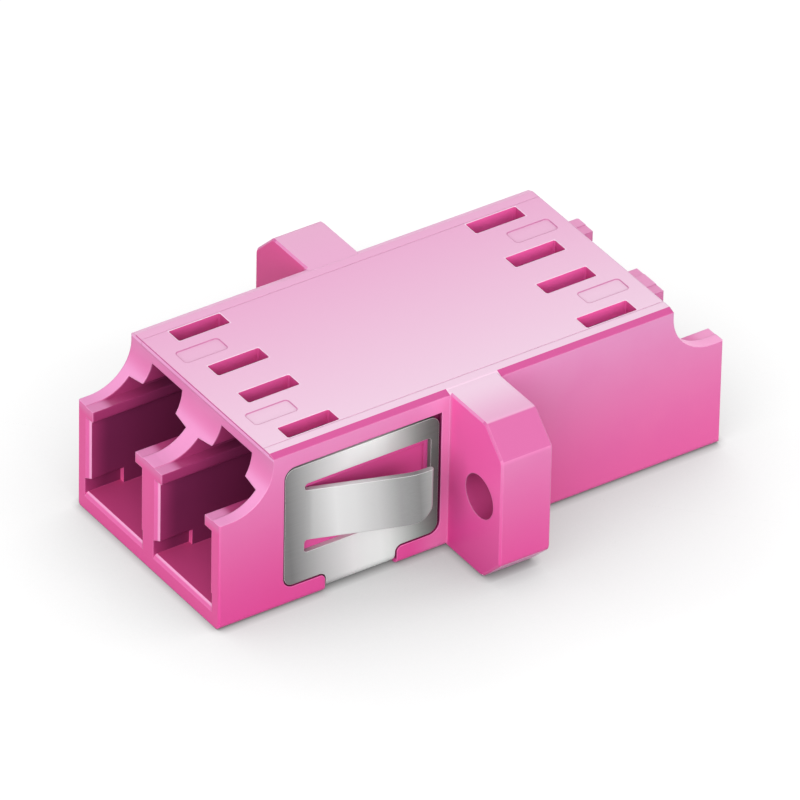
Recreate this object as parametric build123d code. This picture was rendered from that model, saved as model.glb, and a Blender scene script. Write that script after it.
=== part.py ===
from build123d import *
import math
import os

# Duplex fibre optic adapter: a one-piece flanged housing with two keyed ports at each end,
# a welded top cover, two sleeve holders back to back, two slit sleeves and a folded spring clip.
# X runs across the two ports, Y along the fibres and Z up. The origin is under the middle.

# Port profile, from the floor up
port_pitch = 6.25
channel_width = 4.7
channel_height = 4.6
rib_gap = 3.9
rib_height = 0.6
rib_fillet = 0.2
lug_slot_width = 5.2
lug_slot_height = 0.9
lug_slot_rise = 0.13
arm_slot_width = 2.75
arm_slot_draft = 0.12
arm_slot_height = 1.15
latch_depth = 8.3
foot_width = 5.3
foot_height = 0.9
foot_depth = 2.1
mouth_chamfer = 0.22

# Housing
body_length = 29.8
side_wall = 0.925
floor_thickness = 1.0
roof_thickness = 0.47
scoop_length = 3.1
scoop_radius = 2.45
scoop_step = 0.04
scoop_lip_radius = 0.25
top_edge_across = 0.38
top_edge_down = 0.14
bottom_edge_radius = 0.3
end_edge_radius = 0.12

# Panel flange
flange_width = 22.0
flange_thickness = 3.0
flange_corner = 1.5
flange_corner_radius = 0.4
flange_edge_chamfer = 0.1
flange_top_step = 0.03
flange_hole_pitch = 18.2
flange_hole_diameter = 2.4

# Top cover
cover_thickness = 0.35
cover_rail = 0.92
cover_gap = 0.015
window_width = 1.0
window_length = 3.0
window_offset = 1.76
window_setback = 1.5
window_corner = 0.07
mark_width = 1.06
mark_length = 2.5
mark_setback = 0.75
mark_depth = 0.04
mark_corner = 0.2

# Sleeve holders and slit sleeves
holder_plate = 0.9
barrel_diameter = 2.9
barrel_reach = 3.4
barrel_bore_gap = 0.03
barrel_entry = 1.4
barrel_entry_chamfer = 0.2
barrel_lip = 0.85
sleeve_bore = 1.245
sleeve_wall = 0.178
sleeve_slit = 0.28
sleeve_end_gap = 0.05

# Spring clip
sheet = 0.3
clip_inset = 0.05
clip_length = 9.0
clip_flange_gap = 0.57
clip_top_margin = 1.17
clip_bottom_margin = 1.12
clip_corner = 0.55
clip_front_bar = 1.15
clip_rear_bar = 0.47
clip_top_bar = 1.16
clip_bottom_bar = 1.64
tang_top_slit = 0.42
tang_bottom_slit = 0.74
slit_end_radius = 0.2
clip_window_corner = 0.15
tang_tip_gap = 0.98
tang_angle = 19.1
tang_root_bend = 1.2
tang_tip_bend = 3.6
tang_tip_land = 0.4
tang_top_corner = 0.7
tang_bottom_corner = 1.1
strap_width = 4.06
strap_fillet = 0.4
bend_radius = 0.3

# Pocket for the clip
pocket_gap = 0.08
pocket_gap_top = 0.16
pocket_gap_rear = 0.12
tang_relief_depth = 0.15
tang_relief_margin = 0.22

# Sizes that follow
body_width = port_pitch + channel_width + 2 * side_wall
rib_z = floor_thickness + channel_height
lug_slot_z = rib_z + rib_height
scoop_z = lug_slot_z + scoop_step
arm_slot_z = lug_slot_z + lug_slot_height + lug_slot_rise
roof_z = arm_slot_z + arm_slot_height
cover_z = roof_z + roof_thickness
body_height = cover_z + cover_thickness
half_length = body_length / 2
top_half_length = half_length - scoop_length
port_centres = [-port_pitch / 2, port_pitch / 2]
fibre_z = floor_thickness + channel_height / 2
holder_slot_half_width = (port_pitch + channel_width) / 2
cover_half_width = body_width / 2 - cover_rail
holder_half_width = min(holder_slot_half_width, cover_half_width) - cover_gap
clip_outer = body_width / 2 - clip_inset
clip_rear_y = -flange_thickness / 2 - clip_flange_gap
clip_front_y = clip_rear_y - clip_length
clip_bottom_z = clip_bottom_margin
clip_top_z = body_height - clip_top_margin
strap_middle_y = (clip_front_y + clip_rear_y) / 2
pocket_depth = clip_inset + sheet
barrel_tip_y = holder_plate + barrel_reach
sleeve_half_length = barrel_tip_y - barrel_lip - sleeve_end_gap
sleeve_outer = sleeve_bore + 2 * sleeve_wall
beyond = 1.0
tiny = 1e-4


def span_box(x_span, y_span, z_span):
    """A block given by its lowest and highest X, Y and Z."""
    size = [high - low for low, high in (x_span, y_span, z_span)]
    middle = [(high + low) / 2 for low, high in (x_span, y_span, z_span)]
    return Pos(*middle) * Box(*size)


def centred_box(x_middle, width, y_span, z_span):
    """A block of a given width about one X position."""
    return span_box((x_middle - width / 2, x_middle + width / 2), y_span, z_span)


def both_ends(solid):
    """A cut at the front end, and its mirror image at the rear."""
    return solid + mirror(solid, about=Plane.XZ)


# Outer form shared by the housing and the cover

def outer_body():
    """The cross-section along Y, cut to the side view with its scooped ends and to the plan."""
    half_width = body_width / 2
    with BuildSketch(Plane.XZ) as section:
        with BuildLine():
            Polyline(
                (-half_width, 0),
                (half_width, 0),
                (half_width, body_height - top_edge_down),
                (half_width - top_edge_across, body_height),
                (top_edge_across - half_width, body_height),
                (-half_width, body_height - top_edge_down),
                close=True,
            )
        make_face()
        low_corners = section.vertices().group_by(Axis.Y)[0]
        fillet(low_corners, bottom_edge_radius)
    across = extrude(section.sketch, amount=half_length, both=True)

    with BuildSketch(Plane.YZ) as side_view:
        with Locations((0, body_height / 2)):
            Rectangle(2 * top_half_length, body_height)
        with Locations((0, scoop_z / 2)):
            Rectangle(body_length, scoop_z)
        levels = side_view.vertices().group_by(Axis.Y)
        outer_corners = levels[0] + levels[1].sort_by(Axis.X)[:1] + levels[1].sort_by(Axis.X)[-1:]
        scoop_corners = levels[1].sort_by(Axis.X)[1:-1]
        fillet(scoop_corners, scoop_radius)
        fillet(outer_corners, end_edge_radius)
        fillet(levels[-1], scoop_lip_radius)
    along = extrude(side_view.sketch, amount=body_width, both=True)

    with BuildSketch() as plan:
        RectangleRounded(body_width, body_length, end_edge_radius)
    return across & along & extrude(plan.sketch, amount=body_height)


def flange():
    """The panel flange: one plate across the middle, its corners cut at 45 degrees."""
    height = body_height - flange_top_step
    with BuildSketch(Plane.XZ) as outline:
        with Locations((0, height / 2)):
            Rectangle(flange_width, height)
        chamfer(outline.vertices(), flange_corner)
        fillet(outline.vertices(), flange_corner_radius)
    plate = extrude(outline.sketch, amount=flange_thickness / 2, both=True)
    rims = plate.faces().sort_by(Axis.Y)[0].edges() + plate.faces().sort_by(Axis.Y)[-1].edges()
    plate = chamfer(rims, flange_edge_chamfer)
    for side in (-1, 1):
        hole = Cylinder(flange_hole_diameter / 2, flange_thickness + 2 * beyond)
        plate -= Pos(side * flange_hole_pitch / 2, 0, body_height / 2) * Rot(90, 0, 0) * hole
    return plate


# Ports

def port_cut(x_middle):
    """One front port: channel, latch slots above it and foot below it."""
    face_y = -half_length - beyond
    foot_end_y = foot_depth - half_length
    with BuildSketch(Plane.XZ.offset(-face_y)) as channel:
        with Locations((x_middle, (floor_thickness + rib_z) / 2)):
            Rectangle(channel_width, rib_z - floor_thickness)
        fillet(channel.vertices().group_by(Axis.Y)[-1], rib_fillet)
    cut = extrude(channel.sketch, amount=face_y + holder_plate)

    with BuildSketch(Plane.XZ.offset(-face_y)) as latch:
        with BuildLine():
            Polyline(latch_outline(x_middle), close=True)
        make_face()
    cut += extrude(latch.sketch, amount=-latch_depth - beyond)
    foot_top_z = floor_thickness + foot_height
    cut += centred_box(x_middle, foot_width, (face_y, foot_end_y), (floor_thickness, foot_top_z))
    return cut + mouth_cut(x_middle)


def latch_outline(x_middle):
    """The gap between the ribs, the lug slot with its rising ceiling, and the arm slot."""
    right_side = [
        (rib_gap / 2, rib_z - rib_fillet),
        (rib_gap / 2, lug_slot_z),
        (lug_slot_width / 2, lug_slot_z),
        (lug_slot_width / 2, arm_slot_z - lug_slot_rise),
        (arm_slot_width / 2 + arm_slot_draft, arm_slot_z),
        (arm_slot_width / 2, roof_z),
    ]
    left_side = [(-across, z) for across, z in reversed(right_side)]
    return [(x_middle + across, z) for across, z in right_side + left_side]


def mouth_cut(x_middle):
    """The lead-in bevels at the port's mouth, on both side walls and the floor."""
    low_z = floor_thickness + foot_height
    half = channel_width / 2
    with BuildSketch(Plane.XY.offset(low_z)) as plan:
        with BuildLine():
            Polyline(
                (x_middle - half - mouth_chamfer, -half_length),
                (x_middle + half + mouth_chamfer, -half_length),
                (x_middle + half, mouth_chamfer - half_length),
                (x_middle - half, mouth_chamfer - half_length),
                close=True,
            )
        make_face()
    sides = extrude(plan.sketch, amount=rib_z - low_z)

    with BuildSketch(Plane.YZ.offset(x_middle)) as slope:
        with BuildLine():
            Polyline(
                (-half_length, floor_thickness - mouth_chamfer),
                (mouth_chamfer - half_length, floor_thickness),
                (-half_length, floor_thickness),
                close=True,
            )
        make_face()
    sill = extrude(slope.sketch, amount=foot_width / 2, both=True)
    return sides + sill


def window_cut(x_middle):
    """The two front latch windows of one port, from the lug slot up through the cover."""
    middle_y = window_setback - top_half_length + window_length / 2
    low_z = lug_slot_z + lug_slot_height / 2
    with BuildSketch(Plane.XY.offset(low_z)) as plan:
        with Locations((x_middle - window_offset, middle_y), (x_middle + window_offset, middle_y)):
            Rectangle(window_width, window_length)
        chamfer(plan.vertices(), window_corner)
    return extrude(plan.sketch, amount=body_height - low_z + beyond)


def mark_cut(x_middle):
    """One front mark, a shallow recess in the cover."""
    middle_y = mark_setback - top_half_length + mark_length / 2
    with BuildSketch(Plane.XY.offset(body_height - mark_depth)) as plan:
        with Locations((x_middle, middle_y)):
            RectangleRounded(mark_width, mark_length, mark_corner)
    return extrude(plan.sketch, amount=beyond)


def cover_block(gap):
    """The cover's space in the top of the body, less a gap on each side."""
    half = cover_half_width - gap
    return span_box((-half, half), (-half_length, half_length), (cover_z, body_height + beyond))


# Spring clip and its pocket, drawn in the side view and in the cross-section

def leg_corners(outline, edge_z, leg_width):
    """The two inner corners where the strap's leg meets the plate's lower edge.

    A side view is drawn flat, so its own X is the part's Y and its own Y is the part's Z.
    """
    return [
        corner for corner in outline.vertices()
        if abs(corner.Y - edge_z) < tiny
        and abs(abs(corner.X - strap_middle_y) - leg_width / 2) < tiny
    ]


def clip_outline():
    """The side plate with its strap leg and the opening round its tang, as seen from +X."""
    leg_low_z = pocket_depth + bend_radius
    with BuildSketch(Plane.YZ) as outline:
        with Locations((strap_middle_y, (clip_bottom_z + clip_top_z) / 2)):
            RectangleRounded(clip_length, clip_top_z - clip_bottom_z, clip_corner)
        leg_top_z = clip_bottom_z + clip_corner
        with Locations((strap_middle_y, (leg_low_z + leg_top_z) / 2)):
            Rectangle(strap_width, leg_top_z - leg_low_z)
        fillet(leg_corners(outline, clip_bottom_z, strap_width), strap_fillet)
    return outline.sketch - tang_opening()


def tang_window():
    """The opening round the tang: its lowest and highest Y, then Z."""
    y_span = (clip_front_y + clip_front_bar, clip_rear_y - clip_rear_bar)
    z_span = (clip_bottom_z + clip_bottom_bar, clip_top_z - clip_top_bar)
    return y_span, z_span


def tang_z_span():
    """The lowest and highest Z of the tang, between its two slits."""
    window_low_z, window_high_z = tang_window()[1]
    return window_low_z + tang_bottom_slit, window_high_z - tang_top_slit


def tang_opening():
    """The opening as seen from +X: a slit with rounded ends above and below the tang."""
    (front_y, rear_y), window_z = tang_window()
    tang_z = tang_z_span()
    with BuildSketch(Plane.YZ) as opening:
        for low_z, high_z in ((window_z[0], tang_z[0]), (tang_z[1], window_z[1])):
            with Locations(((front_y + rear_y) / 2, (low_z + high_z) / 2)):
                Rectangle(rear_y - front_y, high_z - low_z)
        fillet(opening.vertices().group_by(Axis.X)[0], slit_end_radius)
        start_y = front_y + slit_end_radius
        with Locations(((start_y + rear_y) / 2, sum(tang_z) / 2)):
            Rectangle(rear_y - start_y, tang_z[1] - tang_z[0])
        fillet(opening.vertices().group_by(Axis.X)[-1], clip_window_corner)
    return opening.sketch


def strap_section():
    """The U of the strap in cross-section, bent round both lower corners."""
    top_z = clip_bottom_z + sheet
    outer_radius = bend_radius + sheet
    with BuildSketch(Plane.XZ) as section:
        with Locations((0, (clip_inset + top_z) / 2)):
            Rectangle(2 * clip_outer, top_z - clip_inset)
        fillet(section.vertices().group_by(Axis.Y)[0], outer_radius)
    return section.sketch - core_section(top_z)


def core_section(top_z):
    """What the strap is bent round: the body less its channel, up to a given height."""
    with BuildSketch(Plane.XZ) as core:
        with Locations((0, (pocket_depth + top_z) / 2)):
            Rectangle(body_width - 2 * pocket_depth, top_z - pocket_depth)
        fillet(core.vertices().group_by(Axis.Y)[0], bend_radius)
    return core.sketch


def tang():
    """The lanced tang: rises at an angle, then bends back parallel to the plate."""
    root_y, window_end_y = tang_window()[0]
    root_y += slit_end_radius
    low_z, high_z = tang_z_span()
    tip_y = window_end_y - tang_tip_gap
    angle = math.radians(tang_angle)
    bend_y = tang_tip_bend * math.sin(angle)
    rise_y = tip_y - tang_tip_land - bend_y
    middle_x = clip_outer - sheet / 2
    rise_x = middle_x + (rise_y - root_y) * math.tan(angle)
    parallel_x = rise_x + tang_tip_bend * (1 - math.cos(angle))
    with BuildSketch() as plan:
        with BuildLine():
            root = (middle_x, root_y - clip_front_bar / 2)
            start = (middle_x, root_y)
            rise = (rise_x, rise_y)
            bend = (parallel_x, rise_y + bend_y)
            tip = (parallel_x, tip_y - sheet / 2)
            FilletPolyline(root, start, rise, radius=tang_root_bend)
            TangentArc(rise, bend, tangent=(math.sin(angle), math.cos(angle)))
            Line(bend, tip)
            offset(amount=sheet / 2, side=Side.BOTH)
        make_face()
    strip = Pos(0, 0, low_z) * extrude(plan.sketch, amount=high_z - low_z)

    with BuildSketch(Plane.YZ) as side_view:
        with Locations(((root_y - beyond + tip_y) / 2, (low_z + high_z) / 2)):
            Rectangle(tip_y - root_y + beyond, high_z - low_z)
        tip_corners = side_view.vertices().group_by(Axis.X)[-1].sort_by(Axis.Y)
        fillet(tip_corners[0], tang_bottom_corner)
        fillet(tip_corners[1], tang_top_corner)
    return strip & extrude(side_view.sketch, amount=body_width)


def clip_side():
    """The near side plate with its tang."""
    plate = Pos(clip_outer - sheet, 0, 0) * extrude(clip_outline(), amount=sheet)
    return plate + tang()


def spring_clip():
    """Two side plates joined by the strap that wraps under the body."""
    strap = extrude(strap_section(), amount=strap_width / 2, both=True)
    strap = Pos(0, strap_middle_y, 0) * strap
    side = clip_side()
    return strap + side + mirror(side, about=Plane.YZ)


def clip_pocket():
    """The cut in one side wall: plate pocket, leg slot and relief behind the tang."""
    floor_x = body_width / 2 - pocket_depth
    leg_low_z = pocket_depth + bend_radius
    leg_width = strap_width + 2 * pocket_gap
    y_span = (clip_front_y - pocket_gap, clip_rear_y + pocket_gap_rear)
    z_span = (clip_bottom_z - pocket_gap, clip_top_z + pocket_gap_top)
    with BuildSketch(Plane.YZ) as outline:
        with Locations((sum(y_span) / 2, sum(z_span) / 2)):
            Rectangle(y_span[1] - y_span[0], z_span[1] - z_span[0])
        front_corners = outline.vertices().group_by(Axis.X)[0]
        low_rear_corner = outline.vertices().group_by(Axis.X)[-1].sort_by(Axis.Y)[0]
        fillet([*front_corners, low_rear_corner], clip_corner + pocket_gap)
        with Locations((strap_middle_y, (leg_low_z + clip_bottom_z) / 2)):
            Rectangle(leg_width, clip_bottom_z - leg_low_z)
        fillet(leg_corners(outline, z_span[0], leg_width), strap_fillet - pocket_gap)
    pocket = Pos(floor_x, 0, 0) * extrude(outline.sketch, amount=body_width)

    window_y = tang_window()[0]
    relief_y = (window_y[0] + tang_relief_margin, window_y[1] - tang_relief_margin)
    return pocket + span_box((floor_x - tang_relief_depth, body_width), relief_y, tang_z_span())


def strap_channel():
    """The channel for the strap: the lower corners and the run under the body."""
    width = strap_width + 2 * pocket_gap
    top_z = pocket_depth + bend_radius
    block = span_box((-body_width, body_width), (-width / 2, width / 2), (-beyond, top_z))
    block -= extrude(core_section(top_z + beyond), amount=width, both=True)
    return Pos(0, strap_middle_y, 0) * block


# Sleeve holders and sleeves

def holder_plate_space():
    """The slot across the middle that takes both holder plates, open to the cover."""
    half = holder_slot_half_width
    return span_box((-half, half), (-holder_plate, holder_plate), (floor_thickness, cover_z))


def along_y(radius, start_y, end_y, x_middle):
    """A round bar along Y at fibre height."""
    bar = Rot(90, 0, 0) * Cylinder(radius, end_y - start_y)
    return Pos(x_middle, (start_y + end_y) / 2, fibre_z) * bar


def sleeve_holder():
    """The front holder: a plate with two barrels, each stepped inside to trap a sleeve."""
    half = holder_half_width
    body = span_box((-half, half), (-holder_plate, 0), (floor_thickness, cover_z))
    for x_middle in port_centres:
        body += along_y(barrel_diameter / 2, -barrel_tip_y, -holder_plate / 2, x_middle)
    tips = [
        edge for edge in body.edges().filter_by(GeomType.CIRCLE)
        if abs(edge.center().Y + barrel_tip_y) < tiny
    ]
    body = chamfer(tips, barrel_entry_chamfer)
    for x_middle in port_centres:
        seat_radius = sleeve_outer / 2 + barrel_bore_gap
        body -= along_y(seat_radius, barrel_lip - barrel_tip_y, beyond, x_middle)
        body -= along_y(barrel_entry / 2, -barrel_tip_y - beyond, 0, x_middle)
        flare = Cone(
            barrel_entry / 2,
            barrel_entry / 2 + barrel_entry_chamfer,
            barrel_entry_chamfer,
        )
        flare_y = barrel_entry_chamfer / 2 - barrel_tip_y
        body -= Pos(x_middle, flare_y, fibre_z) * Rot(90, 0, 0) * flare
    return body


def split_sleeve(x_middle):
    """A thin tube, slit along its whole length so that it grips the two ferrules."""
    tube = along_y(sleeve_outer / 2, -sleeve_half_length, sleeve_half_length, x_middle)
    tube -= along_y(sleeve_bore / 2, -half_length, half_length, x_middle)
    slit = centred_box(
        x_middle,
        sleeve_slit,
        (-half_length, half_length),
        (fibre_z, fibre_z + sleeve_outer),
    )
    return tube - slit


# Whole pieces

def housing():
    """The one-piece moulding with its flange, less every slot and pocket."""
    body = outer_body() + flange()
    for x_middle in port_centres:
        body -= both_ends(port_cut(x_middle))
        body -= both_ends(window_cut(x_middle))
    body -= cover_block(0)
    body -= holder_plate_space()
    pocket = clip_pocket()
    body -= pocket
    body -= mirror(pocket, about=Plane.YZ)
    body -= strap_channel()
    return body


def top_cover():
    """The plate let into the top, with its latch windows and shallow marks."""
    cover = outer_body() & cover_block(cover_gap)
    for x_middle in port_centres:
        cover -= both_ends(window_cut(x_middle))
        cover -= both_ends(mark_cut(x_middle))
    return cover


os.makedirs("parts", exist_ok=True)
holder = sleeve_holder()
pieces = {
    "housing": housing(),
    "top_cover": top_cover(),
    "sleeve_holder_front": holder,
    "sleeve_holder_rear": mirror(holder, about=Plane.XZ),
    "split_sleeve_left": split_sleeve(port_centres[0]),
    "split_sleeve_right": split_sleeve(port_centres[1]),
    "spring_clip": spring_clip(),
}
for name, piece in pieces.items():
    export_step(piece, os.path.join("parts", name + ".step"))
    print(name, round(piece.volume, 3))
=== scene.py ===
import math

import bpy
from mathutils import Matrix, Vector


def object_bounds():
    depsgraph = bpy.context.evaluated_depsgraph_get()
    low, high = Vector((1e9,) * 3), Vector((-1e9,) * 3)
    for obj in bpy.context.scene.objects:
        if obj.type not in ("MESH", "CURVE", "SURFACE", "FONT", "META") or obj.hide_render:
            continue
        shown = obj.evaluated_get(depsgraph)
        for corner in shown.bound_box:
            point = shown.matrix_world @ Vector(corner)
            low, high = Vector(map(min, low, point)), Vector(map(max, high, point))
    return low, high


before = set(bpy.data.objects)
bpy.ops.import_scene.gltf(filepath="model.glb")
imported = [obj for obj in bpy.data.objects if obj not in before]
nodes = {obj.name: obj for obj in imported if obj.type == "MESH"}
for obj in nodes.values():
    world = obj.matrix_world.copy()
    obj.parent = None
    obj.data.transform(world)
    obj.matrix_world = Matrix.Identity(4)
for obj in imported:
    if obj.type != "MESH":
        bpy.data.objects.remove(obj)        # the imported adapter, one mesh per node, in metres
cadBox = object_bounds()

mm = 0.001
print("frame loaded:", len(nodes), "nodes")


# Shader maths

class Wire:
    # a socket that adds Math nodes when it is used in an expression

    def __init__(self, tree, socket):
        self.tree = tree
        self.socket = socket

    def maths(self, operation, *others):
        return self.tree.add("ShaderNodeMath", {"operation": operation}, [self, *others])

    def __add__(self, other):
        return self.maths("ADD", other)

    def __radd__(self, other):
        return self.maths("ADD", other)

    def __sub__(self, other):
        return self.maths("SUBTRACT", other)

    def __rsub__(self, other):
        return self.tree.add("ShaderNodeMath", {"operation": "SUBTRACT"}, [other, self])

    def __mul__(self, other):
        return self.maths("MULTIPLY", other)

    def __rmul__(self, other):
        return self.maths("MULTIPLY", other)

    def __pow__(self, other):
        return self.maths("POWER", other)

    def __abs__(self):
        return self.maths("ABSOLUTE")

    def least(self, other):
        return self.maths("MINIMUM", other)

    def most(self, other):
        return self.maths("MAXIMUM", other)

    def dot(self, other):
        operation = {"operation": "DOT_PRODUCT"}
        return self.tree.add("ShaderNodeVectorMath", operation, [self, other], out="Value")

    def share(self, low, high):
        # 0 up to low, 1 from high on, even between them
        values = {"Value": self, "From Min": low, "From Max": high}
        return self.tree.add("ShaderNodeMapRange", None, values)

    def rise(self, low, high):
        # 0 up to low, 1 from high on, smooth between them; low above high turns it over
        smooth = {"interpolation_type": "SMOOTHSTEP"}
        values = {"Value": self, "From Min": low, "From Max": high}
        return self.tree.add("ShaderNodeMapRange", smooth, values)


class Tree:
    # one material's or world's nodes, started empty

    def __init__(self, owner):
        owner.use_nodes = True
        self.nodes = owner.node_tree.nodes
        self.links = owner.node_tree.links
        self.nodes.clear()

    def add(self, kind, settings=None, values=None, out=0):
        # settings come first, then each input is set or linked
        node = self.nodes.new(kind)
        for name, value in (settings or {}).items():
            if name == "stops":
                self.setStops(node.color_ramp, value)
            else:
                setattr(node, name, value)
        pairs = values.items() if isinstance(values, dict) else enumerate(values or [])
        for name, value in pairs:
            if isinstance(value, Wire):
                self.links.new(value.socket, node.inputs[name])
            else:
                node.inputs[name].default_value = value
        return Wire(self, node.outputs[out]) if node.outputs else node

    def setStops(self, ramp, stops):
        while len(ramp.elements) < len(stops):
            ramp.elements.new(0.5)    # moved to its place below
        for element, (place, colour) in zip(ramp.elements, stops):
            element.position = place
            element.color = colour

    def place(self):
        # the point on the surface, in millimetres of the adapter's own frame, and its X, Y, Z
        point = self.add("ShaderNodeTexCoord", out="Object")
        scaled = {"operation": "SCALE"}
        grown = self.add("ShaderNodeVectorMath", scaled, {"Vector": point, "Scale": 1 / mm})
        return grown, self.parts(grown)

    def parts(self, vector):
        return [self.add("ShaderNodeSeparateXYZ", None, [vector], out=axis) for axis in "XYZ"]

    def noise(self, vector, scale, detail=2.0):
        values = {"Vector": vector, "Scale": scale, "Detail": detail}
        return self.add("ShaderNodeTexNoise", None, values)

    def blend(self, factor, low, high):
        # a colour between two others; the numbers are the Mix node's sockets for colours
        values = {0: factor, 6: low, 7: high}
        return self.add("ShaderNodeMix", {"data_type": "RGBA"}, values, out=2)

    def softEdge(self, radius, samples=8):
        # a normal rounded over the edges, how far it has turned: 1 - the cosine, and the flat one
        rounded = self.add("ShaderNodeBevel", {"samples": samples}, {"Radius": radius})
        flat = self.add("ShaderNodeNewGeometry", out="True Normal")
        return rounded, 1 - rounded.dot(flat), flat


def linear(red, green, blue):
    # a screen colour, 0 to 255, as the linear colour that Blender works in
    parts = [value / 255 for value in (red, green, blue)]
    done = [p / 12.92 if p <= 0.04045 else ((p + 0.055) / 1.055) ** 2.4 for p in parts]
    return (*done, 1.0)


def dress(node, material):
    # gives a carried-over CAD node its finish
    mesh = nodes[node].data
    mesh.materials.clear()
    mesh.materials.append(material)


# Places that several finishes share, in millimetres of the adapter's own frame

halfLength = cadBox[1][1] / mm
topZ = cadBox[1][2] / mm
lipY = halfLength - 3.1                # where the top ends and the scoops start
middleX = 3.125                        # middle of each port
floorZ = 1.0                           # floor of the ports
ribZ = 5.6                             # underside of the ribs in the ports
slotZ = 6.2                            # top of the ribs, where the lug slots start
portX = 5.8                            # in the side walls, a little way out from the ports
scoopRadius = 2.45
scoopY = lipY + scoopRadius            # middle of the scoops' arcs, seen from the side
scoopZ = slotZ + 0.04 + scoopRadius
flangeY = 1.5                          # front and rear faces of the flange


# Masks on the moulded plastic, which paint light and shade into its colour

# In the settings, places are in millimetres and facings are parts of the surface's normal. A pair
# is where a ramp starts and where it is full, or the two ends of a span, and a third number is how
# far the span fades beyond its ends.

def within(value, low, high, soft=0.02):
    # 1 between two limits, fading to 0 just outside them
    return value.rise(low - soft, low) * value.rise(high + soft, high)


def rearHalf(y):
    # 0 on the front half of the adapter, 1 on the rear half
    return y.rise(-1.0, 1.0)


def leftHalf(x):
    # 0 on the right half of the adapter, 1 on the left half
    return x.rise(1.0, -1.0)


# Side walls, top and edges

# a painted highlight on each side wall, just in front of the flange
sideStrip = {
    "startY": (-3.8, -1.8),
    "endY": (0.05 - flangeY, -flangeY),
    "x": (6.3, 6.45),
    "colour": linear(255, 164, 220),
    "share": 0.38,
}


def paintSideLight(tree, colour, x, y, settings):
    # painted light: each side grows lighter towards the front of the flange
    strip = y.rise(*settings["startY"]) * y.rise(*settings["endY"]) * within(abs(x), *settings["x"])
    return tree.blend(strip * settings["share"], colour, settings["colour"])


# the top's painted light: its pale colours, and the painted shade of the bevel on the right
topPaintedLight = {
    "colour": linear(232, 171, 207),
    "paintedPaleColour": linear(238, 206, 226),
    "x": (-5.5, 6.5),
    "z": (8.0, 8.8),
    "facing": (0.85, 0.99),
    "earX": (6.4, 9.6),
    "paintedEarColour": linear(230, 171, 205),
    "bevelX": (6.01, 6.41, 0.01),
    "bevelZ": (9.05, 9.195, 0.01),
    "flangeY": (-flangeY, flangeY),
    "paintedBevelShade": linear(204, 82, 147),
}


def paintTopLight(tree, colour, x, y, z, facing, settings):
    # painted light and shade: faces that look up are painted paler than the sides, paler from left to
    # right; the bevel beside the top goes with it on the left and at the flange, and is painted
    # darker on the right, as shade
    shade = tree.blend(x.share(*settings["x"]), settings["colour"], settings["paintedPaleColour"])
    shade = tree.blend(abs(x).rise(*settings["earX"]), shade, settings["paintedEarColour"])
    bevel = within(z, *settings["bevelZ"]) * within(abs(x), *settings["bevelX"])
    plain = within(y, *settings["flangeY"]).most(leftHalf(x))
    upward = facing[2].rise(*settings["facing"]) * z.rise(*settings["z"])
    colour = tree.blend(upward.most(bevel * plain), colour, shade)
    return tree.blend(bevel * (1 - plain), colour, settings["paintedBevelShade"])


# the edges' painted highlight; the radius also rounds the normal over the edges
edges = {
    "radius": 0.09 * mm,
    "turn": (0.01, 0.12),
    "colour": linear(246, 170, 214),
    "share": 0.32,
    "rootX": (6.25, 6.65),
    "rootY": (flangeY - 0.1, flangeY + 0.2),
}


def paintEdgeHighlight(tree, colour, x, y, turned, inside, settings):
    # painted highlight: every edge outside the ports is painted lighter, but not the corners where
    # the flange starts
    root = within(abs(y), *settings["rootY"]) * within(abs(x), *settings["rootX"])
    light = turned.rise(*settings["turn"]) * (1 - inside) * (1 - root) * settings["share"]
    return tree.blend(light, colour, settings["colour"])


# Ports

# painted light and shade round the mouths, on the scoops and on the lip
mouth = {
    "endY": (halfLength - 0.3, halfLength - 0.1),
    "facing": (0.85, 0.95),
    "faceZ": (slotZ, ribZ),
    "paintedFaceShade": linear(225, 78, 152),
    "curveY": (lipY - 0.1, scoopY - 2.0),
    "curveZ": (slotZ, topZ - 0.05),
    "curveFacing": (0.5, 0.3),
    "scoopFacing": (0.1, 0.6),
    "paintedScoopShade": linear(222, 98, 163),
    "paintedScoopLight": linear(232, 150, 200),
    "paintedRearScoopLight": linear(246, 168, 212),
    "lipY": (lipY - 0.1, lipY),
    "lipLineZ": (8.94, 9.08, 0.04),
    "paintedLipHighlight": linear(238, 168, 214),
    "lipEdgeZ": (9.1, 9.16),
    "paintedLipShade": linear(196, 78, 142),
}


def paintMouthLight(tree, colour, y, z, facing, settings):
    # painted light and shade: the faces round the mouths are painted darker, the scoops above them
    # paler where they face up and on the rear half, and the lip where the top ends gets a painted
    # highlight line and a painted shade line at its edge
    outward = abs(y)
    forward = abs(facing[1]).rise(*settings["facing"])
    face = outward.rise(*settings["endY"]) * forward * z.rise(*settings["faceZ"])
    colour = tree.blend(face, colour, settings["paintedFaceShade"])
    upward = facing[2].rise(*settings["scoopFacing"])
    scoop = tree.blend(upward, settings["paintedScoopShade"], settings["paintedScoopLight"])
    scoop = tree.blend(rearHalf(y), scoop, settings["paintedRearScoopLight"])
    curved = outward.rise(*settings["curveY"]) * within(z, *settings["curveZ"])
    curved = curved * abs(facing[0]).rise(*settings["curveFacing"])
    colour = tree.blend(curved, colour, scoop)
    lip = forward * outward.rise(*settings["lipY"])
    line = lip * within(z, *settings["lipLineZ"])
    colour = tree.blend(line, colour, settings["paintedLipHighlight"])
    edge = lip * z.rise(*settings["lipEdgeZ"])
    return tree.blend(edge, colour, settings["paintedLipShade"])


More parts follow.
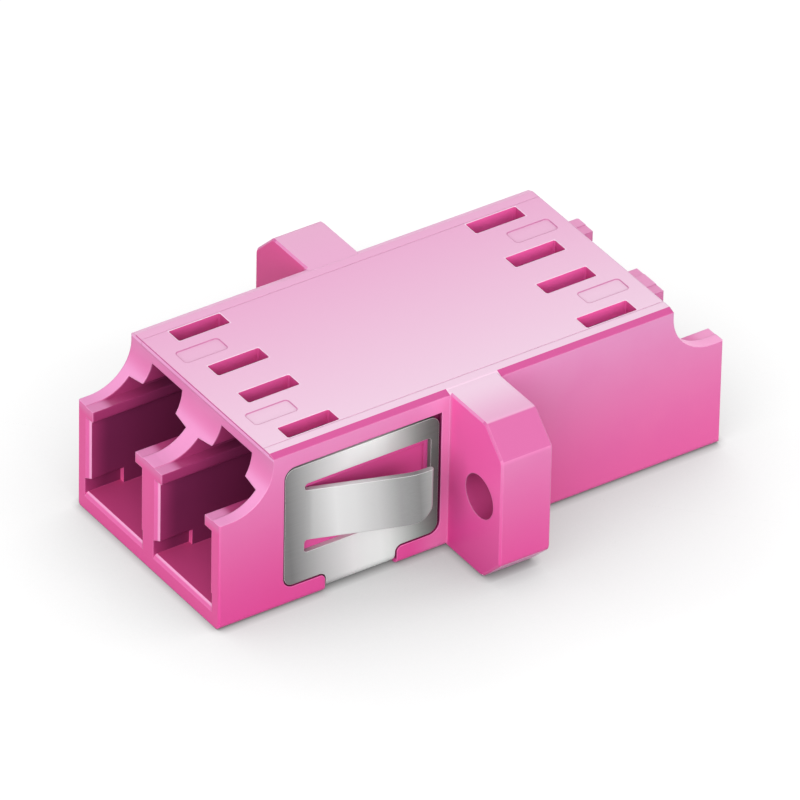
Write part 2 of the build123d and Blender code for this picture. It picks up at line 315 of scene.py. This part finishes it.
# painted shade inside the ports, and painted light on their floors, steps and rear mouths
port = {
    "x": (portX + 0.03, portX),
    "z": (floorZ - 0.02, 8.6),
    "rimDepth": (0.0, 0.12),
    "belowRibZ": (ribZ + 0.02, ribZ - 0.05),
    "ribDepth": (0.2, 2.3),
    "wallDepth": (0.1, 1.3),
    "paintedNearShade": linear(170, 58, 114),
    "paintedRearNearLight": linear(240, 140, 194),
    "paintedDeepShade": linear(124, 42, 86),
    "floorZ": (floorZ + 0.1, floorZ + 0.02),
    "floorFacing": (0.5, 0.8),
    # painted light: the floor of the ports is painted lighter than their walls
    "floorColour": linear(206, 72, 134),
    "stepFacing": (-0.9, -0.98),
    "stepZ": (2.4, 2.3),
    "stepStart": (0.5, 0.8),
    "stepEnd": (3.5, 3.0),
    "paintedStepHighlight": linear(230, 90, 154),
}


def portDepth(y, z):
    # how far a point lies behind the port's mouth or behind its scoop
    outward = abs(y)
    across = (scoopY - outward).most(0.0)
    down = scoopZ - z
    behindScoop = (across * across + down * down) ** 0.5 - scoopRadius
    return behindScoop.least(halfLength - outward)


def paintPortShade(tree, colour, x, y, z, facing, settings):
    # painted shade: the inside is painted darker with depth, the walls first; the floor and the step
    # where the foot channel ends stay lighter, and so does the near part of the rear ports
    depth = portDepth(y, z)
    low = z.rise(*settings["belowRibZ"])
    dark = depth.rise(*settings["ribDepth"]) * (1 - low) + depth.rise(*settings["wallDepth"]) * low
    near = tree.blend(rearHalf(y), settings["paintedNearShade"], settings["paintedRearNearLight"])
    shade = tree.blend(dark, near, settings["paintedDeepShade"])
    ground = z.rise(*settings["floorZ"]) * facing[2].rise(*settings["floorFacing"])
    shade = tree.blend(ground, shade, settings["floorColour"])
    step = facing[1].rise(*settings["stepFacing"]) * z.rise(*settings["stepZ"])
    step = step * depth.rise(*settings["stepStart"]) * depth.rise(*settings["stepEnd"])
    shade = tree.blend(step, shade, settings["paintedStepHighlight"])
    inside = abs(x).rise(*settings["x"]) * within(z, *settings["z"])
    inside = inside * depth.rise(*settings["rimDepth"])
    return tree.blend(inside, colour, shade), inside


# painted light on the lead-in bevels
leadIn = {
    "x": (portX + 0.2, portX),
    "z": (floorZ - 0.3, ribZ),
    "facing": (0.6, 0.8, 0.05),
    "reach": (0.4, 0.3),
    "colour": linear(226, 104, 168),
    "shineDepth": (0.1, 0.17),
    "paintedShineColour": linear(243, 166, 210),
}


def paintLeadInLight(tree, colour, x, y, z, facing, settings):
    # painted light on the lead-in bevels: their outer part goes with the painted face, and the inner
    # part gets a painted shine
    depth = halfLength - abs(y)
    sloped = within(abs(facing[1]), *settings["facing"]) * abs(x).rise(*settings["x"])
    sloped = sloped * within(z, *settings["z"]) * depth.rise(*settings["reach"])
    colour = tree.blend(sloped, colour, settings["colour"])
    shine = sloped * depth.rise(*settings["shineDepth"])
    return tree.blend(shine, colour, settings["paintedShineColour"])


# Flange

# painted light and shade on the ears
flange = {
    "innerX": (6.42, 6.72),
    "frontFacing": (-0.8, -0.95),
    "frontStartY": (-flangeY - 0.3, -flangeY - 0.1),
    "frontEndY": (0.1 - flangeY, -flangeY),
    "frontZ": (0.5, 6.0),
    "paintedLowColour": linear(206, 61, 139),
    "paintedHighColour": linear(238, 98, 171),
    "paintedLeftShade": linear(219, 64, 141),
    "outerX": (9.2, 9.3),
    "slopeFacing": (0.5, 0.93, 0.04),
    "slopeZ": (6.0, 6.5),
    "paintedSlopeShade": linear(206, 101, 158),
    "underFacing": (-0.8, -0.6, 0.1),
    "paintedUnderReflection": linear(236, 160, 205),
    "holeX": 9.1,
    "holeZ": 4.6,
    "holeRadius": (1.23, 1.21),
    "paintedHoleShade": linear(179, 62, 120),
}


def paintFlangeLight(tree, colour, x, y, z, facing, settings):
    # painted light and shade on the ears: the front painted darker towards the bottom and darker on
    # the left ear, the slopes painted darker, a painted reflection on the lower bevels, and painted
    # shade in the screw holes
    face = tree.blend(z.share(*settings["frontZ"]), settings["paintedLowColour"], settings["paintedHighColour"])
    face = tree.blend(leftHalf(x), face, settings["paintedLeftShade"])
    front = abs(x).rise(*settings["innerX"]) * facing[1].rise(*settings["frontFacing"])
    front = front * y.rise(*settings["frontEndY"]) * y.rise(*settings["frontStartY"])
    colour = tree.blend(front, colour, face)
    outer = abs(x).rise(*settings["outerX"])
    slope = outer * within(facing[2], *settings["slopeFacing"]) * z.rise(*settings["slopeZ"])
    colour = tree.blend(slope, colour, settings["paintedSlopeShade"])
    under = outer * within(facing[2], *settings["underFacing"])
    colour = tree.blend(under, colour, settings["paintedUnderReflection"])
    across = abs(x) - settings["holeX"]
    above = z - settings["holeZ"]
    radius = (across * across + above * above) ** 0.5
    return tree.blend(radius.rise(*settings["holeRadius"]), colour, settings["paintedHoleShade"])


# Latch windows and the marks beside them

# painted light and shade in the latch windows
window = {
    "offset": 1.76,
    "middleY": lipY - 3.0,
    "halfWidth": 0.5,
    "halfLength": 1.5,
    "rim": (0.07, 0.0),
    "rimZ": (topZ - 0.03, topZ - 0.02),
    "paintedRimHighlight": linear(246, 216, 236),
    "wall": (0.03, 0.01),
    "wallZ": (7.3, topZ - 0.03),
    "shadeZ": (8.3, 9.15),
    "paintedLowColour": linear(240, 100, 176),
    "paintedHighColour": linear(216, 84, 151),
    "paintedRearLowColour": linear(255, 116, 200),
    "paintedRearHighColour": linear(236, 94, 167),
    "endFacing": (0.5, 0.9),
    "paintedEndShade": linear(196, 70, 134),
}


def paintWindowLight(tree, colour, x, y, z, facing, settings):
    # painted light and shade on the walls of the latch windows, paler on the rear half and darker on
    # their end walls, and a painted highlight on the rim round each
    across = abs(abs(abs(x) - middleX) - settings["offset"]) - settings["halfWidth"]
    along = abs(abs(y) - settings["middleY"]) - settings["halfLength"]
    beyond = across.most(along)
    rim = beyond.rise(*settings["rim"]) * z.rise(*settings["rimZ"])
    colour = tree.blend(rim, colour, settings["paintedRimHighlight"])
    height = z.share(*settings["shadeZ"])
    shade = tree.blend(height, settings["paintedLowColour"], settings["paintedHighColour"])
    rear = tree.blend(height, settings["paintedRearLowColour"], settings["paintedRearHighColour"])
    shade = tree.blend(rearHalf(y), shade, rear)
    end = abs(facing[1]).rise(*settings["endFacing"])
    shade = tree.blend(end, shade, settings["paintedEndShade"])
    wall = beyond.rise(*settings["wall"]) * within(z, *settings["wallZ"])
    return tree.blend(wall, colour, shade), wall


# painted shade along the outline of the marks
mark = {
    "middleY": lipY - 2.0,
    "half": (0.53, 1.25),
    "corner": 0.2,
    "line": (0.042, 0.021),
    "z": (9.1, 9.12),
    "colour": linear(204, 112, 164),
    "share": 0.62,
}


def paintMarkShade(tree, colour, x, y, z, settings):
    # the fine dark outline of the shallow marks in the top, painted shade along their edge
    halfX, halfY = [side - settings["corner"] for side in settings["half"]]
    across = abs(abs(x) - middleX) - halfX
    along = abs(abs(y) - settings["middleY"]) - halfY
    outside = (across.most(0.0) ** 2 + along.most(0.0) ** 2) ** 0.5
    away = abs(outside + across.most(along).least(0.0) - settings["corner"])
    line = away.rise(*settings["line"]) * z.rise(*settings["z"])
    return tree.blend(line * settings["share"], colour, settings["colour"])


# Recess behind the clip

# painted shade in the recess behind the clip
pocket = {
    "floorX": (5.8, 5.84),
    "outerX": (6.39, 6.37),
    "y": (-11.2, -1.9),
    "z": (0.3, 8.25),
    "paintedGapShade": linear(146, 40, 94),
    "openingY": (-9.95, -2.5),
    "openingZ": (2.7, 6.95),
    "paintedOpeningShade": linear(216, 82, 151),
}


def paintPocketShade(tree, colour, x, y, z, settings):
    # painted shade: dark round the plate, lighter where the tang is cut out of it
    sunk = abs(x).rise(*settings["floorX"]) * abs(x).rise(*settings["outerX"])
    sunk = sunk * within(y, *settings["y"]) * within(z, *settings["z"])
    opening = within(y, *settings["openingY"]) * within(z, *settings["openingZ"])
    shade = tree.blend(opening, settings["paintedGapShade"], settings["paintedOpeningShade"])
    return tree.blend(sunk, colour, shade)


# Moulded plastic

# painted light: the body is painted paler towards the top and towards the rear; the flange and the
# windows use the same painted low and high colours
plastic = {
    "paintedLowColour": linear(218, 72, 147),
    "paintedHighColour": linear(223, 138, 187),
    "paintedRearLowColour": linear(229, 97, 163),
    "paintedRearHighColour": linear(219, 146, 191),
    "rearY": (0.0, 5.0),
    "heights": (0.3, 9.6),
    "heightPower": 1.4,
    "cloudScale": 0.4,
    "cloudRange": (0.35, 0.65),
    "cloudColour": linear(216, 84, 162),
    "cloudShare": 0.1,
    "grainScale": 14.0,
    "grainBump": 0.03,
    "grainDepth": 0.02 * mm,
    "grainRoughness": 0.08,
    "noiseDetail": 3.0,
    "roughness": 0.36,
    "ior": 1.5,
    "specular": 0.3,
}


def mouldedPlastic(name, settings):
    # violet-pink: painted paler towards the top and the rear, faint clouding, painted light edges,
    # fine grain, and the painted light and shade of the masks above
    material = bpy.data.materials.new(name)
    tree = Tree(material)
    point, (x, y, z) = tree.place()
    facing = tree.parts(tree.add("ShaderNodeNewGeometry", out="Normal"))
    rounded, turned, flat = tree.softEdge(edges["radius"])

    height = z.share(*settings["heights"]) ** settings["heightPower"]
    front = tree.blend(height, settings["paintedLowColour"], settings["paintedHighColour"])
    rear = tree.blend(height, settings["paintedRearLowColour"], settings["paintedRearHighColour"])
    colour = tree.blend(y.rise(*settings["rearY"]), front, rear)
    cloud = tree.noise(point, settings["cloudScale"], settings["noiseDetail"])
    cloud = cloud.rise(*settings["cloudRange"]) * settings["cloudShare"]
    colour = tree.blend(cloud, colour, settings["cloudColour"])

    # each of these paints over the ones before it
    colour = paintSideLight(tree, colour, x, y, sideStrip)
    colour = paintMouthLight(tree, colour, y, z, facing, mouth)
    colour = paintFlangeLight(tree, colour, x, y, z, facing, flange)
    colour = paintTopLight(tree, colour, x, y, z, facing, topPaintedLight)
    colour, inside = paintPortShade(tree, colour, x, y, z, facing, port)
    colour = paintLeadInLight(tree, colour, x, y, z, facing, leadIn)
    colour = paintEdgeHighlight(tree, colour, x, y, turned, inside, edges)
    colour = paintMarkShade(tree, colour, x, y, z, mark)
    colour, walled = paintWindowLight(tree, colour, x, y, z, facing, window)
    colour = paintPocketShade(tree, colour, x, y, z, pocket)

    grain = tree.noise(point, settings["grainScale"], settings["noiseDetail"])
    bump = {
        "Strength": settings["grainBump"],
        "Distance": settings["grainDepth"],
        "Height": grain,
        "Normal": tree.blend(walled, rounded, flat),
    }
    lowest = settings["roughness"] - settings["grainRoughness"] / 2
    finish = {
        "Base Color": colour,
        "Roughness": grain * settings["grainRoughness"] + lowest,
        "Normal": tree.add("ShaderNodeBump", None, bump),
        "IOR": settings["ior"],
        "Specular IOR Level": settings["specular"],
    }
    shader = tree.add("ShaderNodeBsdfPrincipled", None, finish)
    tree.add("ShaderNodeOutputMaterial", None, {"Surface": shader})
    return material


# Steel clip

def grey(tone, cool=0):
    # cool takes back the pink that the flange throws on the steel beside it
    return linear(tone - cool, tone + cool, tone)


# each painted reflection band is its place along the plate, 0 at the front end, then its grey and its
# coolness
steel = {
    "plateY": (-11.07, -2.07),
    "platePaintedReflections": (
        (0.0, 110, 0), (0.12, 160, 0), (0.2, 186, 0), (0.29, 208, 0),
        (0.4, 232, 0), (0.5, 240, 2), (0.58, 243, 3), (0.64, 234, 4),
        (0.75, 191, 6), (0.85, 143, 9), (0.94, 103, 13), (1.0, 83, 15),
    ),
    "tangPaintedReflections": (
        (0.0, 120, 0), (0.13, 172, 0), (0.28, 217, 0), (0.38, 211, 0), (0.5, 190, 0),
        (0.62, 146, 0), (0.73, 124, 1), (0.8, 163, 4), (0.86, 220, 7),
    ),
    "tangX": (6.37, 6.45),
    "slant": 0.08,
    "slantZ": 7.45,
    "lineStretch": (9.0, 0.25, 9.0),
    "lineScale": 2.0,
    "lineDetail": 3.0,
    "lineColour": grey(255),
    "lineShare": 0.06,
    "lineBump": 0.03,
    "lineDepth": 0.01 * mm,
    "lineRoughness": 0.06,
    "edgeRadius": 0.06 * mm,
    "edgeTurn": (0.01, 0.15),
    # painted highlight on the clip's edges
    "paintedEdgeHighlight": grey(240),
    "edgeShare": 0.7,
    "roughness": 0.38,
    "metallic": 0.3,
}


def springSteel(name, settings):
    # satin stainless sheet: painted reflections as soft bands across its length, painted highlights
    # on its edges, and fine rolling lines
    material = bpy.data.materials.new(name)
    tree = Tree(material)
    point, (x, y, z) = tree.place()
    along = (y + (z - settings["slantZ"]) * settings["slant"]).share(*settings["plateY"])
    tones = []
    for key in ("platePaintedReflections", "tangPaintedReflections"):
        stops = [(where, grey(tone, cool)) for where, tone, cool in settings[key]]
        tones.append(tree.add("ShaderNodeValToRGB", {"stops": stops}, [along]))
    colour = tree.blend(abs(x).rise(*settings["tangX"]), *tones)
    stretch = {"Vector": point, "Scale": settings["lineStretch"]}
    stretched = tree.add("ShaderNodeMapping", None, stretch)
    lines = tree.noise(stretched, settings["lineScale"], settings["lineDetail"])
    colour = tree.blend(lines * settings["lineShare"], colour, settings["lineColour"])
    rounded, turned, _ = tree.softEdge(settings["edgeRadius"])
    light = turned.rise(*settings["edgeTurn"]) * settings["edgeShare"]
    colour = tree.blend(light, colour, settings["paintedEdgeHighlight"])
    bump = {
        "Strength": settings["lineBump"],
        "Distance": settings["lineDepth"],
        "Height": lines,
        "Normal": rounded,
    }
    lowest = settings["roughness"] - settings["lineRoughness"] / 2
    finish = {
        "Base Color": colour,
        "Roughness": lines * settings["lineRoughness"] + lowest,
        "Metallic": settings["metallic"],
        "Normal": tree.add("ShaderNodeBump", None, bump),
    }
    shader = tree.add("ShaderNodeBsdfPrincipled", None, finish)
    tree.add("ShaderNodeOutputMaterial", None, {"Surface": shader})
    return material


# Ceramic sleeves

zirconia = {
    "colour": linear(243, 241, 236),
    "cloudColour": linear(232, 229, 222),
    "cloudScale": 3.0,
    "cloudRoughness": 0.08,
    "roughness": 0.16,
}


def polishedCeramic(name, settings):
    # white zirconia, ground and polished
    material = bpy.data.materials.new(name)
    tree = Tree(material)
    point, _ = tree.place()
    cloud = tree.noise(point, settings["cloudScale"])
    lowest = settings["roughness"] - settings["cloudRoughness"] / 2
    finish = {
        "Base Color": tree.blend(cloud, settings["colour"], settings["cloudColour"]),
        "Roughness": cloud * settings["cloudRoughness"] + lowest,
    }
    shader = tree.add("ShaderNodeBsdfPrincipled", None, finish)
    tree.add("ShaderNodeOutputMaterial", None, {"Surface": shader})
    return material


bodyPlastic = mouldedPlastic("bodyPlastic", plastic)
for node in ("housing", "top_cover", "sleeve_holder_front", "sleeve_holder_rear"):
    dress(node, bodyPlastic)
dress("spring_clip", springSteel("satinSteel", steel))
whiteCeramic = polishedCeramic("whiteCeramic", zirconia)
for node in ("split_sleeve_left", "split_sleeve_right"):
    dress(node, whiteCeramic)
print("materials done")


# Floor, light and camera

white = (1.0, 1.0, 1.0, 1.0)

# lengths in metres, but the lamps' places and sizes in millimetres, and their power in watts
studio = {
    "floorSize": 4.0,
    "floorZ": -0.02 * mm,    # a hair low, so that it doesn't flicker against the underside
    "floorColour": linear(110, 110, 110),
    "floorLift": (0.22, 0.68),
    "floorReach": 14 * mm,
    "contactReach": 0.5 * mm,
    "contactShare": 0.75,
    "shadeSamples": 16,
    "worldLevel": 0.6,
    "lamps": {
        "left": {"at": (-290, 40, 40), "aim": (0, 0, 4), "size": 200, "power": 0.42},
        "rear": {"at": (50, 290, 40), "aim": (0, 0, 4), "size": 200, "power": 0.42},
        "side": {"at": (280, 40, 60), "aim": (0, 0, 4), "size": 200, "power": 0.36},
        "front": {"at": (150, -240, 70), "aim": (0, 0, 4), "size": 360, "power": 1.1},
    },
}


def seenLevel(tree, low, high):
    # high for what the camera sees, directly or mirrored, and low for light on the object
    rays = ("Is Camera Ray", "Is Glossy Ray", "Is Transmission Ray")
    camera, glossy, through = [tree.add("ShaderNodeLightPath", out=ray) for ray in rays]
    return camera.most(glossy).most(through) * (high - low) + low


def floorOpenness(tree, reach, settings):
    # 1 where nothing stands within reach of the floor, falling to 0 under the part
    samples = {"samples": settings["shadeSamples"]}
    return tree.add("ShaderNodeAmbientOcclusion", samples, {"Distance": reach}, out="AO")


def makeFloor(settings):
    # a plain floor that looks white wherever nothing shades it
    half = settings["floorSize"] / 2
    level = settings["floorZ"]
    corners = [(-half, -half, level), (half, -half, level), (half, half, level), (-half, half, level)]
    mesh = bpy.data.meshes.new("floor")
    mesh.from_pydata(corners, [], [(0, 1, 2, 3)])
    floor = bpy.data.objects.new("floor", mesh)
    bpy.context.scene.collection.objects.link(floor)
    material = bpy.data.materials.new("paleFloor")
    tree = Tree(material)
    matte = tree.add("ShaderNodeBsdfDiffuse", None, {"Color": settings["floorColour"]})
    shaded, gain = settings["floorLift"]
    wide = floorOpenness(tree, settings["floorReach"], settings) * gain + shaded
    contact = floorOpenness(tree, settings["contactReach"], settings)
    near = contact * settings["contactShare"] + (1 - settings["contactShare"])
    lift = seenLevel(tree, 0.0, 1.0) * wide * near
    glow = tree.add("ShaderNodeEmission", None, {"Color": white, "Strength": lift})
    both = tree.add("ShaderNodeAddShader", None, [matte, glow])
    tree.add("ShaderNodeOutputMaterial", None, {"Surface": both})
    mesh.materials.append(material)


def makeWorld(settings):
    # soft light from all round, and plain white where the camera looks past the floor
    world = bpy.data.worlds.new("studio")
    bpy.context.scene.world = world
    tree = Tree(world)
    level = seenLevel(tree, settings["worldLevel"], 1.0)
    background = tree.add("ShaderNodeBackground", None, {"Color": white, "Strength": level})
    tree.add("ShaderNodeOutputWorld", None, {"Surface": background})


def makeLamp(name, settings):
    # a square softbox turned to face a point, and left out of reflections
    lamp = bpy.data.lights.new(name, "AREA")
    lamp.shape = "SQUARE"
    lamp.size = settings["size"] * mm
    lamp.energy = settings["power"]
    holder = bpy.data.objects.new(name, lamp)
    bpy.context.scene.collection.objects.link(holder)
    start = Vector(settings["at"]) * mm
    holder.location = start
    holder.visible_glossy = False
    turn = Vector(settings["aim"]) * mm - start
    holder.rotation_euler = turn.to_track_quat("-Z", "Y").to_euler()


# angles in degrees and lengths in millimetres; the lens is in pixels of a picture this wide
view = {
    "azimuth": 55.662,
    "elevation": 34.979,
    "roll": 1.186,
    "distance": 600.0,
    "target": (0.0, 0.0, 4.5),
    "slide": (-0.077, -0.069),
    "lensPixels": 12123.0,
    "widthPixels": 800,
    "sensorWidth": 36.0,
    "farthest": 20000.0,
}


def makeCamera(settings):
    # a long lens at the photograph's angle; slide moves it across and up
    azimuth = math.radians(settings["azimuth"])
    elevation = math.radians(settings["elevation"])
    roll = math.radians(settings["roll"])
    back = Vector((
        math.sin(azimuth) * math.cos(elevation),
        -math.cos(azimuth) * math.cos(elevation),
        math.sin(elevation),
    ))
    level = Vector((math.cos(azimuth), math.sin(azimuth), 0))
    rise = back.cross(level)
    right = level * math.cos(roll) + rise * math.sin(roll)
    up = rise * math.cos(roll) - level * math.sin(roll)
    across, above = settings["slide"]
    spot = Vector(settings["target"]) + back * settings["distance"] + right * across + up * above
    turn = Matrix((right, up, back)).transposed().to_4x4()
    data = bpy.data.cameras.new("camera")
    data.sensor_width = settings["sensorWidth"]
    data.lens = settings["lensPixels"] * settings["sensorWidth"] / settings["widthPixels"]
    data.clip_end = settings["farthest"] * mm
    camera = bpy.data.objects.new("camera", data)
    bpy.context.scene.collection.objects.link(camera)
    camera.matrix_world = Matrix.Translation(spot * mm) @ turn
    bpy.context.scene.camera = camera


makeFloor(studio)
makeWorld(studio)
for name, settings in studio["lamps"].items():
    makeLamp(name, settings)
makeCamera(view)
bpy.context.scene.view_settings.view_transform = "Standard"
print("studio done")
